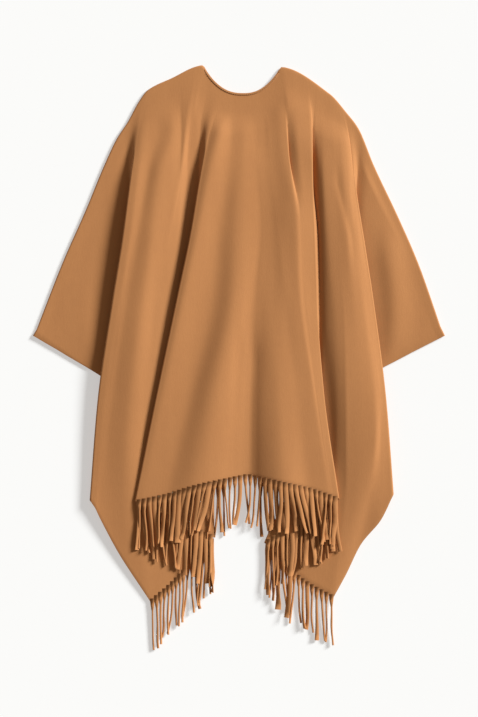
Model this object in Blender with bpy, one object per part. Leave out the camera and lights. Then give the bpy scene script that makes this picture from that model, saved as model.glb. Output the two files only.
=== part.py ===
"""Fringed poncho of felted wool, laid flat on its front with the back up.

The poncho is one wide length of cloth, slit up the centre front. The back falls in deep folds that
fan out from the neck and the shoulders. Each fold is a real S in the wall: a valley hidden under a
crest. The cloth is a wall worked out from ribs, lines that run from the shoulder line down to the
hem or the side edge. X is to the right of the back, Y up towards the neck, Z up from the surface.
"""

import math

import bpy
import numpy as np
from mathutils import Matrix, Vector

MM = 0.001

# Cloth and seams, in millimetres like every size below
CLOTH_THICKNESS = 2.0
SEAM_GAP = 0.3
BINDING_THICKNESS = 1.2
BINDING_ENDS = (-77.0, 74.0)  # left and right, measured along the shoulder line

# Moves the middle of the neck to where the whole poncho is centred on the origin
PLAN_SHIFT = (5.95, 570.0)

# Shoulder line and back neckline, seen from above, from the middle of the neck
SHOULDER_LINE = (
    # x, y
    (-406.0, -524.0),
    (-349.0, -378.0),
    (-304.0, -276.0),
    (-272.0, -198.0),
    (-245.0, -140.0),
    (-223.0, -106.0),
    (-201.0, -66.0),
    (-184.0, -44.0),
    (-140.0, -22.0),
    (-76.0, 4.0),
    (76.0, 1.0),
    (172.0, -52.0),
    (204.0, -88.0),
    (228.0, -120.0),
    (257.0, -190.0),
    (306.0, -294.0),
    (345.0, -384.0),
    (394.0, -524.0),
)
NECK_HALF_WIDTH = 76.0
NECK_DEPTH = 53.5
NECK_ROUNDNESS = 2.4
ROLL_FADES_FROM = 87.9
ROLL_ENDS_AT = 68.0
SHOULDER_ROLL_RADIUS = 1.8
ROLL_ROWS = 3
TOP_LINE_POINTS = 400

# Ribs of the back, from the left cuff to the right cuff. Each runs from the shoulder line or the
# neckline to its foot on the side edge or the hem. bow is how far it curves to the right halfway,
# z_half and z_foot are the cloth's heights there, and z_tip is the height of the fringe's ends.
RIBS = (
    # name, top_x, foot_x, foot_y, bow, z_half, z_foot, z_tip
    ("cuff_left", -406, -276, -602, 0, 3.6, 3.6, 0),
    ("sleeve_left_1", -355, -243, -622, 0, 6.0, 5.0, 0),
    ("sleeve_left_2", -304, -215, -638, 0, 4.0, 3.6, 0),
    ("sleeve_left_3", -259, -190, -653, 0, 5.0, 3.6, 0),
    ("valley_a", -226, -168, -666, 0, 3.6, 3.6, 0),
    ("crest_a", -201, -299, -848, -14, 19, 14, 0),
    ("side_left_1", -166, -280, -873, -4, 17, 12, 0),
    ("side_left_2", -140, -243, -944, -4, 20, 7, 0),
    ("corner_left", -123, -179, -1043, 0, 12.5, 4.2, 2.0),
    ("side_left_3", -105, -131, -1022, 0, 10, 4.4, 2.0),
    ("side_left_4", -88, -89, -994, 0, 9, 4.4, 3.0),
    ("neck_left", -76.5, -62, -979, 0, 8, 4.4, 3.0),
    ("valley_b", -64, -42, -966, 0, 8, 4.0, 3.0),
    ("crest_b", -45, -210, -846, -3, 28, 22, 17),
    ("back_1", -22, -160, -837, 0, 24, 20, 17),
    ("back_2", -12, -111, -824, 0, 29, 24, 17),
    ("back_3", -2, -68, -811, 0, 36, 31, 17),
    ("back_4", 8, -30, -797, 0, 29, 23, 16),
    ("back_5", 18, 8, -795, 0, 15, 11, 7.0),
    ("back_6", 28, 42, -806, 0, 24, 18, 16),
    ("back_7", 42, 103, -815, 0, 35, 30, 17),
    ("back_8", 57, 152, -826, 0, 32, 27, 17),
    ("crest_c", 73, 191, -840, 0, 29, 23, 17),
    ("valley_c", 94, 45, -926, 0, 8, 4.0, 3.0),
    ("side_right_1", 112, 80, -955, 0, 12, 4.4, 3.0),
    ("side_right_2", 128, 121, -986, 0, 15, 4.4, 2.0),
    ("corner_right", 142, 179, -1034, 0, 9, 4.2, 2.0),
    ("side_right_3", 162, 203, -990, 0, 17, 4.6, 0),
    ("side_right_4", 178, 232, -931, 0, 18, 6, 0),
    ("side_right_5", 192, 271, -883, 0, 17, 11, 0),
    ("crest_d", 207, 298, -838, 11, 18, 14, 0),
    ("valley_d", 224, 190, -630, 0, 3.6, 3.6, 0),
    ("sleeve_right_1", 252, 209, -620, 0, 5.0, 3.6, 0),
    ("sleeve_right_2", 289, 230, -609, 0, 4.0, 3.6, 0),
    ("sleeve_right_3", 333, 252, -598, 0, 6.0, 5.0, 0),
    ("cuff_right", 394, 275, -586, 0, 3.6, 3.6, 0),
)
RIB_COLUMNS = ("top_x", "foot_x", "foot_y", "bow", "z_half", "z_foot", "z_tip")

CORNER_LEFT_RIB = 3
CORNER_RIGHT_RIB = 4

# Stretches of cloth between the folds, and how many steps the wall takes from rib to rib
STRETCHES = (
    # first rib, last rib, steps
    ("cuff_left", "valley_a", 1),
    ("crest_a", "valley_b", 1),
    ("crest_b", "crest_c", 2),
    ("valley_c", "crest_d", 1),
    ("valley_d", "cuff_right", 1),
)
FOLDS_START = 0.24
ROWS_ABOVE = 8
ROWS_BELOW = 11
ROW_PARTS = 4
FOLD_STEPS = 10
FOLD_ARC_STEPS = 4
FOLD_RADIUS_SHARE = 0.235
FOLD_RADIUS_LIMIT = 0.24
FOLD_RADIUS_MAX = 3.5
FOLD_RISE_MIN = 0.01
FULL_FOLD = 2.6
EARLY_ROW = 0.15
EARLY_RISE = 0.62

# Fronts, flat on the surface: where the cloth under each point of the shoulder line ends
FRONT_CUFFS = (
    # name, side, foot_x, foot_y
    ("front_left", -1, 277, 599),
    ("front_right", 1, 268, 577),
)
FRONT_CUFF_SHARES = (
    # top_x, how far along the cuff
    (304, 1.0),
    (355, 0.7),
    (406, 0.35),
)
FRONT_FEET = (
    # top_x, foot_x, foot_y
    (259, 258, 650),
    (226, 241, 705),
    (201, 220, 775),
    (187, 195, 850),
    (140, 135, 840),
    (96, 75, 826),
)
FRONT_CORNER_X = 195.0
FRONT_NECK_DEPTH = 142.0
FRONT_OPENING_X = 18.0
FRONT_OPENING_FOOT = (31.0, 816.0)
FRONT_NECK_STEPS = 4
FRONT_ROWS = 4

# Fringe
FRINGE_GAP = 0.5
FRINGE_PITCH = 11.0
STRAND_WIDTH = 7.4
STRAND_LENGTH = 101.0
STRIP_WIDTH = 6.0
STRAND_STEPS = 3
STRAND_SWAY = 2.5
SWAY_STEP = 0.55
LENGTH_CHANGE = 0.04
LENGTH_STEP = 2.3
FALL_POWER = 1.6
FRONT_TIP_Z = 1.3

WOOL_CAMEL = (0.52, 0.27, 0.12, 1.0)
WOOL_EDGE = (0.44, 0.22, 0.095, 1.0)
WOOL_FRINGE = (0.50, 0.25, 0.11, 1.0)


def smooth_through(knots, values, where):
    """Monotone cubic through the knots: it never rises above or falls below its neighbours."""
    knots = np.asarray(knots, float)
    values = np.asarray(values, float)
    step = np.diff(knots)
    slope = np.diff(values.T).T / step.reshape((-1,) + (1,) * (values.ndim - 1))
    tangent = np.zeros_like(values)
    same_way = slope[1:] * slope[:-1] > 0
    both = np.where(same_way, slope[1:] + slope[:-1], 1.0)
    tangent[1:-1] = np.where(same_way, 2 * slope[1:] * slope[:-1] / both, 0.0)
    tangent[0], tangent[-1] = slope[0], slope[-1]
    cell = np.clip(np.searchsorted(knots, where, side="right") - 1, 0, len(step) - 1)
    width = step[cell]
    part = (where - knots[cell]) / width
    if values.ndim > 1:
        width, part = width[:, None], part[:, None]
    low, high = values[cell], values[cell + 1]
    bend_low, bend_high = tangent[cell] * width, tangent[cell + 1] * width
    return (low * (1 + 2 * part) * (1 - part) ** 2 + bend_low * part * (1 - part) ** 2
            + high * part ** 2 * (3 - 2 * part) - bend_high * part ** 2 * (1 - part))


def unit(vectors):
    """The same vectors with length 1."""
    return vectors / np.linalg.norm(vectors, axis=-1, keepdims=True)


def neck_share(x):
    """0 on the shoulders, where the cloth rolls over to the front, and 1 on the neckline."""
    return np.clip((ROLL_FADES_FROM - np.abs(x)) / (ROLL_FADES_FROM - ROLL_ENDS_AT), 0.0, 1.0)


def top_line(x):
    """Plan points of the back's first row, set in from the shoulder fold and the neckline."""
    line = np.array(SHOULDER_LINE)
    dense = np.linspace(line[0, 0], line[-1, 0], TOP_LINE_POINTS)
    height = np.interp(dense, line[:, 0], line[:, 1])
    scoop = NECK_DEPTH * (1 - np.abs(dense / NECK_HALF_WIDTH) ** NECK_ROUNDNESS)
    height = height - np.maximum(scoop, 0.0)
    slope = np.gradient(height, dense)
    inward = np.stack((slope, -np.ones_like(slope)), axis=1) / np.hypot(slope, 1.0)[:, None]
    neck = neck_share(dense)
    roll = SHOULDER_ROLL_RADIUS
    inset = (1 - neck) * (roll + CLOTH_THICKNESS / 2) + neck * math.pi * roll
    moved = np.stack((dense, height), axis=1) + inward * inset[:, None]
    order = np.argsort(moved[:, 0])
    return np.stack((x, np.interp(x, moved[order, 0], moved[order, 1])), axis=-1)


def shoulder_height():
    """Height of the wall's middle just inside the shoulder fold, above the front's middle."""
    return CLOTH_THICKNESS / 2 + 2 * SHOULDER_ROLL_RADIUS


def stretch_columns(first, last, steps):
    """Sizes of every wall column between two ribs, straight from rib to rib but for the heights."""
    names = [rib[0] for rib in RIBS]
    rows = np.array([rib[1:] for rib in RIBS[names.index(first):names.index(last) + 1]], float)
    knots = np.arange(len(rows))
    where = np.linspace(0, len(rows) - 1, (len(rows) - 1) * steps + 1)
    columns = {}
    for index, name in enumerate(RIB_COLUMNS):
        if name.startswith("z_"):
            columns[name] = smooth_through(knots, rows[:, index], where)
        else:
            columns[name] = np.interp(where, knots, rows[:, index])
    return columns


def stretch_points(columns, down):
    """Middle of the wall along one stretch: rows down the ribs, columns across them."""
    top = top_line(columns["top_x"])
    down = down[:, None]
    bow = columns["bow"] * 4 * down * (1 - down)
    x = top[:, 0] + (columns["foot_x"] - top[:, 0]) * down + bow
    y = top[:, 1] + (columns["foot_y"] - top[:, 1]) * down
    start = np.full_like(columns["z_half"], shoulder_height())
    early = start + (columns["z_half"] - start) * EARLY_RISE
    heights = np.stack((start, early, columns["z_half"], columns["z_foot"]))
    z = smooth_through((0.0, EARLY_ROW, 0.5, 1.0), heights, down[:, 0])
    return np.stack((x, y, z), axis=-1)


def fold_points(low, high, side):
    """An S of cloth from the valley line low to the crest line high, both given row by row.

    In the plane across the fold it is an arc, a straight stretch and an arc back, which meet on a
    common tangent. side is +1 where the low cloth lies to the left of the fold, and -1 to the right.
    """
    along = unit((low[-1] - low[0] + high[-1] - high[0])[:2])
    across = side * np.array((-along[1], along[0]))
    rise = np.maximum(high[:, 2] - low[:, 2], FOLD_RISE_MIN)
    run = (high - low)[:, :2] @ across
    slip = (high - low)[:, :2] @ along
    radius = np.minimum(rise * FOLD_RADIUS_SHARE, FOLD_RADIUS_MAX)
    radius = np.minimum(radius, FOLD_RADIUS_LIMIT * (run ** 2 + rise ** 2) / rise)
    straight = np.sqrt(run ** 2 + rise ** 2 - 4 * rise * radius)
    turn = np.arctan2(rise - 2 * radius, run) + np.arctan2(2 * radius, straight)
    arc = radius * turn
    length = straight + 2 * arc
    share = np.linspace(0, 1, FOLD_STEPS + 1)
    round_steps = np.linspace(0, 1, FOLD_ARC_STEPS + 1)
    tight = np.concatenate((arc[:, None] * round_steps, (length / 2)[:, None],
                            length[:, None] - arc[:, None] * round_steps[::-1]), axis=1)
    folded = np.clip(turn / FULL_FOLD, 0, 1)[:, None]
    where = folded * tight + (1 - folded) * length[:, None] * share
    first = np.clip(where / radius[:, None], 0, turn[:, None])
    last = np.clip((length[:, None] - where) / radius[:, None], 0, turn[:, None])
    middle = np.clip(where - arc[:, None], 0, straight[:, None])
    reach = radius[:, None] * (np.sin(first) + np.sin(turn)[:, None] - np.sin(last))
    lift = radius[:, None] * (1 - np.cos(first) - np.cos(turn)[:, None] + np.cos(last))
    reach = reach + middle * np.cos(turn)[:, None]
    lift = lift + middle * np.sin(turn)[:, None]
    step = where / length[:, None]
    plan = low[:, None, :2] + reach[..., None] * across + (slip[:, None] * step)[..., None] * along
    return np.concatenate((plan, (low[:, None, 2] + lift)[..., None]), axis=2)


def back_surface():
    """Middle of the back's wall, with the column numbers where each stretch starts and ends.

    It has ROW_PARTS rows for each row that the wall keeps, so that its normals come out true.
    """
    above = np.linspace(0, FOLDS_START, ROWS_ABOVE * ROW_PARTS + 1)
    below = np.linspace(FOLDS_START, 1, ROWS_BELOW * ROW_PARTS + 1)
    down = np.concatenate((above, below[1:]))
    sizes = [stretch_columns(*stretch) for stretch in STRETCHES]
    stretches = [stretch_points(columns, down) for columns in sizes]
    outer = FOLD_RADIUS_MAX + CLOTH_THICKNESS / 2
    stretches[1][:, 0, 0] += outer
    stretches[2][:, 0, 0] += outer
    stretches[2][:, -1, 0] -= outer
    stretches[3][:, -1, 0] -= outer
    pieces = [stretches[0]]
    tips = [sizes[0]["z_tip"]]
    ends = [(0, stretches[0].shape[1] - 1)]
    for left, right, size_left, size_right in zip(stretches, stretches[1:], sizes, sizes[1:]):
        rising = left[-1, -1, 2] < right[-1, 0, 2]
        if rising:
            fold = fold_points(left[:, -1], right[:, 0], 1)
        else:
            fold = fold_points(right[:, 0], left[:, -1], -1)[:, ::-1]
        fold = fold[:, 1:-1]
        share = (fold[-1, :, 2] - left[-1, -1, 2]) / (right[-1, 0, 2] - left[-1, -1, 2])
        tips.append(size_left["z_tip"][-1] * (1 - share) + size_right["z_tip"][0] * share)
        start = ends[-1][1] + fold.shape[1] + 1
        ends.append((start, start + right.shape[1] - 1))
        pieces += [fold, right]
        tips.append(size_right["z_tip"])
    return np.concatenate(pieces, axis=1), np.concatenate(tips), ends


def surface_normals(surface):
    """Unit normals of a grid of points, up where the grid's columns run right and its rows down.

    Its two lower corners lie on straight edges, so they take the normal of the row above.
    """
    across = np.gradient(surface, axis=1)
    down = np.gradient(surface, axis=0)
    normals = unit(np.cross(down, across))
    normals[-1, 0], normals[-1, -1] = normals[-2, 0], normals[-2, -1]
    return normals


def outward_of(line):
    """Plan directions that point out of the cloth along a top edge that runs to the right."""
    tangent = unit(np.gradient(line[:, :2], axis=0))
    return np.stack((-tangent[:, 1], tangent[:, 0]), axis=1)


def shoulder_roll(surface):
    """The wall's middle and its normals, with rows added that turn over the shoulder fold.

    Each added row turns along an arc. Its turn falls from half a circle on the shoulders to none on
    the neckline, where the same length of cloth runs straight on.
    """
    first = surface[0]
    outward = outward_of(first)
    neck = neck_share(first[:, 0])
    rows, normals = [], []
    for step in range(ROLL_ROWS, 0, -1):
        length = math.pi * SHOULDER_ROLL_RADIUS * step / ROLL_ROWS
        row = first.copy()
        turn = (1 - neck) * length / SHOULDER_ROLL_RADIUS
        reach = SHOULDER_ROLL_RADIUS * np.sin(turn) + neck * length
        row[:, :2] += outward * reach[:, None]
        row[:, 2] -= SHOULDER_ROLL_RADIUS * (1 - np.cos(turn))
        rows.append(row)
        normals.append(np.column_stack((outward * np.sin(turn)[:, None], np.cos(turn))))
    rolled = np.concatenate((np.array(rows), surface[::ROW_PARTS]), axis=0)
    kept_normals = surface_normals(surface)[::ROW_PARTS]
    return rolled, np.concatenate((np.array(normals), kept_normals), axis=0)


def add_object(name, points, faces, material):
    """A closed mesh object in metres, from points in millimetres."""
    mesh = bpy.data.meshes.new(name)
    mesh.from_pydata((np.asarray(points) * MM).tolist(), [], faces)
    mesh.materials.append(material)
    mesh.update()
    mesh.shade_smooth()
    mesh.set_sharp_from_angle(angle=math.radians(40))
    item = bpy.data.objects.new(name, mesh)
    bpy.context.collection.objects.link(item)
    return item


def add_wall(name, surface, normals, thickness, material):
    """A wall of even thickness round a grid of middle points, closed along its four edges."""
    rows, columns = surface.shape[:2]
    offset = normals * thickness / 2
    points = np.concatenate(((surface + offset).reshape(-1, 3), (surface - offset).reshape(-1, 3)))
    number = np.arange(rows * columns).reshape(rows, columns)
    below = number + rows * columns
    faces = []
    for row in range(rows - 1):
        for column in range(columns - 1):
            corners = ((row, column), (row + 1, column), (row + 1, column + 1), (row, column + 1))
            faces.append([number[corner] for corner in corners])
            faces.append([below[corner] for corner in reversed(corners)])
    rim = ([(0, column) for column in range(columns)]
           + [(row, columns - 1) for row in range(1, rows)]
           + [(rows - 1, column) for column in range(columns - 2, -1, -1)]
           + [(row, 0) for row in range(rows - 2, 0, -1)])
    for here, there in zip(rim, rim[1:] + rim[:1]):
        faces.append((number[here], number[there], below[there], below[here]))
    return add_object(name, points, [tuple(int(i) for i in face) for face in faces], material)


def at_columns(values, where):
    """Values of a row read between its columns, straight from one to the next."""
    low = np.clip(np.floor(where).astype(int), 0, len(values) - 2)
    part = (where - low).reshape((-1,) + (1,) * (values.ndim - 1))
    return values[low] * (1 - part) + values[low + 1] * part


def fringe_columns(hem, stretches):
    """Where the strip's columns lie on the hem, and which of them start a strand.

    Strands are spread evenly over each stretch, and none stands on the turn of a fold.
    """
    where, starts = [], []
    for first, last in stretches:
        run = np.concatenate(((0.0,), np.cumsum(np.linalg.norm(np.diff(hem[first:last + 1], axis=0),
                                                               axis=1))))
        count = max(int(run[-1] / FRINGE_PITCH), 1)
        middle = (np.arange(count) + 0.5) * run[-1] / count
        edges = np.stack((middle - STRAND_WIDTH / 2, middle + STRAND_WIDTH / 2), axis=1).ravel()
        if where:
            where += [float(column) for column in range(int(where[-1]) + 1, first)]
        where.append(float(first))
        starts += [len(where) + 2 * index for index in range(count)]
        where += list(first + np.interp(edges, run, np.arange(last - first + 1)))
        where.append(float(last))
    return np.array(where), starts


def strand_sections(corners, normal, heading, length, tip_z):
    """Middles, widths and thicknesses of one flat strand from its root to its end.

    The strand runs straight on from the hem as seen from above, falls on a curve to what it lies on,
    and turns flat on the way.
    """
    root = (corners[0] + corners[1]) / 2
    root_width = unit(corners[1] - corners[0])
    level = np.array((-heading[1], heading[0], 0.0))
    level = level * np.sign(level @ root_width)
    slant = abs(level @ root_width)
    sections = []
    for step in range(1, STRAND_STEPS + 1):
        part = step / STRAND_STEPS
        middle = root + np.append(heading, 0.0) * length * part
        middle[2] = tip_z + (root[2] - tip_z) * (1 - part) ** FALL_POWER
        width = unit(root_width * (1 - part) + level * part)
        fall = (tip_z - root[2]) * FALL_POWER * (1 - part) ** (FALL_POWER - 1) / length
        thick = unit(np.cross(np.append(heading, fall), width))
        thick = thick * np.sign(thick @ normal)
        sections.append((middle, width * (1 - part + slant * part), thick))
    return sections


def add_fringe(name, hem, down, normals, tips, stretches, material):
    """A strip along a hem with flat strands drawn out of its lower edge, as one closed solid."""
    where, starts = fringe_columns(hem, stretches)
    edge, down, normal = (at_columns(values, where) for values in (hem, down, normals))
    down, normal, tip = unit(down), unit(normal), at_columns(tips, where)
    off_edge = unit(np.cross(normal, np.gradient(edge, axis=0)))
    off_edge = off_edge * np.sign((off_edge * down).sum(axis=1))[:, None]
    upper = edge + off_edge * FRINGE_GAP
    lower = upper + down * STRIP_WIDTH
    half = normal * CLOTH_THICKNESS / 2
    count = len(where)
    points = [upper + half, lower + half, lower - half, upper - half]
    points = list(np.concatenate(points))
    top_out, low_out, low_in, top_in = (range(k * count, (k + 1) * count) for k in range(4))
    faces = [(top_out[0], top_in[0], low_in[0], low_out[0]),
             (top_out[-1], low_out[-1], low_in[-1], top_in[-1])]
    for c in range(count - 1):
        faces.append((top_out[c], low_out[c], low_out[c + 1], top_out[c + 1]))
        faces.append((top_in[c], top_in[c + 1], low_in[c + 1], low_in[c]))
        faces.append((top_out[c], top_out[c + 1], top_in[c + 1], top_in[c]))
        if c not in starts:
            faces.append((low_out[c], low_in[c], low_in[c + 1], low_out[c + 1]))
    for number, c in enumerate(starts):
        middle_down = unit(down[c, :2] + down[c + 1, :2])
        sway = math.radians(STRAND_SWAY) * math.sin(SWAY_STEP * (number + 2))
        heading = np.array((middle_down[0] - sway * middle_down[1],
                            middle_down[1] + sway * middle_down[0]))
        length = STRAND_LENGTH * (1 + LENGTH_CHANGE * math.sin(LENGTH_STEP * number)) - STRIP_WIDTH
        sections = strand_sections((lower[c], lower[c + 1]), unit(normal[c] + normal[c + 1]),
                                   heading, length, (tip[c] + tip[c + 1]) / 2)
        ring = (low_out[c], low_out[c + 1], low_in[c + 1], low_in[c])
        for middle, width, thick in sections:
            start = len(points)
            across = width * STRAND_WIDTH / 2
            through = thick * CLOTH_THICKNESS / 2
            points += [middle - across + through, middle + across + through,
                       middle + across - through, middle - across - through]
            new_ring = tuple(range(start, start + 4))
            for k in range(4):
                m = (k + 1) % 4
                faces.append((ring[m], ring[k], new_ring[k], new_ring[m]))
            ring = new_ring
        faces.append(ring[::-1])
    return add_object(name, points, faces, material)


def front_surface(side, cuff, shoulder):
    """Middle of one front: rows from the shoulder and the neck down to the side edge and the hem.

    It starts under the back's own shoulder points. The neck side follows a quarter of an ellipse
    from the shoulder down to the front opening.
    """
    level = shoulder[:, :2] - outward_of(shoulder) * SEAM_GAP
    level = level[side * level[:, 0] >= ROLL_FADES_FROM][::-side]
    reach = side * level[-1, 0] - FRONT_OPENING_X
    depth = FRONT_NECK_DEPTH + level[-1, 1]
    angle = np.linspace(0, math.pi / 2, FRONT_NECK_STEPS + 1)[1:]
    neck = np.stack((side * (FRONT_OPENING_X + reach * np.cos(angle)),
                     level[-1, 1] - depth * np.sin(angle)), axis=1)
    feet = np.array(FRONT_FEET, float)
    shares = np.array(FRONT_CUFF_SHARES, float)
    tip = level[0] * (side, -1)
    knots = np.concatenate(((FRONT_OPENING_X,), feet[::-1, 0], shares[:, 0]))
    cuff_feet = tip + (np.array(cuff) - tip) * shares[:, 1:]
    ends = np.concatenate(((FRONT_OPENING_FOOT,), feet[::-1, 1:], cuff_feet))
    top = np.concatenate((level, neck))
    foot = np.stack([np.interp(side * top[:, 0], knots, ends[:, axis]) for axis in (0, 1)], axis=1)
    foot = foot * (side, -1)
    plan = top + (foot - top) * np.linspace(0, 1, FRONT_ROWS + 1)[:, None, None]
    height = np.full(plan.shape[:2] + (1,), CLOTH_THICKNESS / 2)
    return np.concatenate((plan, height), axis=2)[:, ::-side]


def binding_surface(surface, normals):
    """Middle of the neck binding and its normals: the wall's own points there, moved off the cloth."""
    rows = slice(0, ROLL_ROWS + 1)
    top_x = surface[ROLL_ROWS, :, 0]
    inside = np.flatnonzero((top_x >= BINDING_ENDS[0]) & (top_x <= BINDING_ENDS[1]))
    columns = slice(inside[0], inside[-1] + 1)
    lift = CLOTH_THICKNESS / 2 + SEAM_GAP + BINDING_THICKNESS / 2
    return (surface + normals * lift)[rows, columns], normals[rows, columns]


def wool(name, colour, roughness):
    """A matt cloth material."""
    material = bpy.data.materials.new(name)
    material.use_nodes = True
    shader = material.node_tree.nodes["Principled BSDF"]
    shader.inputs["Base Color"].default_value = colour
    shader.inputs["Roughness"].default_value = roughness
    shader.inputs["Metallic"].default_value = 0.0
    return material


def build_back(surface, tips, ends):
    """The back, its neck binding and the fringe of its hem."""
    surface, normals = shoulder_roll(surface)
    add_wall("back", surface, normals, CLOTH_THICKNESS, wool("wool_back", WOOL_CAMEL, 0.9))
    bound, bound_normals = binding_surface(surface, normals)
    add_wall("neck_binding", bound, bound_normals, BINDING_THICKNESS,
             wool("wool_neck_binding", WOOL_EDGE, 0.85))
    stretches = (
        (ends[1][0] + CORNER_LEFT_RIB, ends[1][1]),
        (ends[1][1] + FOLD_ARC_STEPS, ends[2][0] - FOLD_ARC_STEPS),
        (ends[2][0], ends[2][1]),
        (ends[2][1] + FOLD_ARC_STEPS, ends[3][0] - FOLD_ARC_STEPS),
        (ends[3][0], ends[3][1] - CORNER_RIGHT_RIB),
    )
    add_fringe("fringe_back", surface[-1], unit(surface[-1] - surface[-2]), normals[-1], tips,
               stretches, wool("wool_fringe_back", WOOL_FRINGE, 0.9))


def build_fronts(shoulder):
    """Both fronts, flat under the back, each with the fringe of its hem."""
    for name, side, *cuff in FRONT_CUFFS:
        surface = front_surface(side, cuff, shoulder)
        normals = np.zeros_like(surface)
        normals[..., 2] = 1.0
        add_wall(name, surface, normals, CLOTH_THICKNESS, wool("wool_" + name, WOOL_CAMEL, 0.9))
        hem = np.flatnonzero(side * surface[-1, :, 0] <= FRONT_CORNER_X + SEAM_GAP)
        add_fringe("fringe_" + name, surface[-1], unit(surface[-1] - surface[-2]), normals[-1],
                   np.full(surface.shape[1], FRONT_TIP_Z), ((hem[0], hem[-1]),),
                   wool("wool_fringe_" + name, WOOL_FRINGE, 0.9))


def main():
    """Clear the scene, build the poncho and centre it on the origin."""
    for item in list(bpy.data.objects):
        bpy.data.objects.remove(item, do_unlink=True)
    surface, tips, ends = back_surface()
    build_back(surface, tips, ends)
    build_fronts(surface[0])
    for item in bpy.data.objects:
        item.data.transform(Matrix.Translation(Vector(PLAN_SHIFT + (0.0,)) * MM))


main()
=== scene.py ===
"""Fringed poncho of camel felted wool, laid flat with its back up.

The add-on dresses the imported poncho: the folded back, the two fronts under it, the stitched neck
edge and the cut fringe, in felted wool, on a pale floor under soft light. Sizes in the tables are
in millimetres from the middle of the neck: x to the right of the back, y up towards the neck, z up
from the floor. PLAN_SHIFT moves that point to its place in the frame.
"""

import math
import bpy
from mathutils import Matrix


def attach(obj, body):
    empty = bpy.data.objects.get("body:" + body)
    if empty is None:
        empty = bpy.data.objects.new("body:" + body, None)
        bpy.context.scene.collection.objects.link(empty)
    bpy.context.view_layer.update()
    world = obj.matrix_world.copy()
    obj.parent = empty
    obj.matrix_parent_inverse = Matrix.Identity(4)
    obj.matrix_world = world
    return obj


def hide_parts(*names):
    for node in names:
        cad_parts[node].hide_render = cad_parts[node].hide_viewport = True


bl_info = {
    "name": "Fringed Wool Poncho",
    "version": (1, 0, 0),
    "blender": (4, 5, 0),
    "location": "View3D > Sidebar > Poncho",
    "description": "Makes the cloth, neck edge and fringe of a felted wool poncho laid flat",
    "category": "Object",
}

import bpy
import numpy as np
from bpy.props import FloatProperty, FloatVectorProperty, IntProperty, PointerProperty

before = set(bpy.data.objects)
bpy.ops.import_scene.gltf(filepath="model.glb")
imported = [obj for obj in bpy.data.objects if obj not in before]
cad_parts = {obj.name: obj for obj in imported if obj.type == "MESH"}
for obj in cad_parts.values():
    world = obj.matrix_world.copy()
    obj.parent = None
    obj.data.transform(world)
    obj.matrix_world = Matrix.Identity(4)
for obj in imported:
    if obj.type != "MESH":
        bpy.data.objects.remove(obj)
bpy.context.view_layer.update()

MM = 0.001
UP = np.array((0.0, 0.0, 1.0))
PLAN_SHIFT = np.array((5.95, 570.0, 0.0))

# Wall of the cloth: half its thickness, as surfaces are worked out in the middle of it, and how
# far and from which angle its edges are bevelled
HALF_WALL = 1.0
WALL_BEVEL = 0.35
BEVEL_FROM = math.radians(60)

# Shoulder line, with the neckline scooped out of its middle
SHOULDER_LINE = (
    # x, y
    (-406, -524),
    (-349, -378),
    (-304, -276),
    (-272, -198),
    (-245, -140),
    (-223, -106),
    (-201, -66),
    (-184, -44),
    (-140, -22),
    (-76, 4),
    (76, 1),
    (172, -52),
    (204, -88),
    (228, -120),
    (257, -190),
    (306, -294),
    (345, -384),
    (394, -524),
)
NECK_HALF_WIDTH = 76.0
NECK_DEPTH = 53.5
NECK_ROUNDNESS = 2.4
ROLL_FADES_FROM = 87.9
ROLL_ENDS_AT = 68.0
ROLL_RADIUS = 1.8
TOP_ROW_Z = HALF_WALL + 2 * ROLL_RADIUS
ROLL_ROWS = 8

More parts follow.
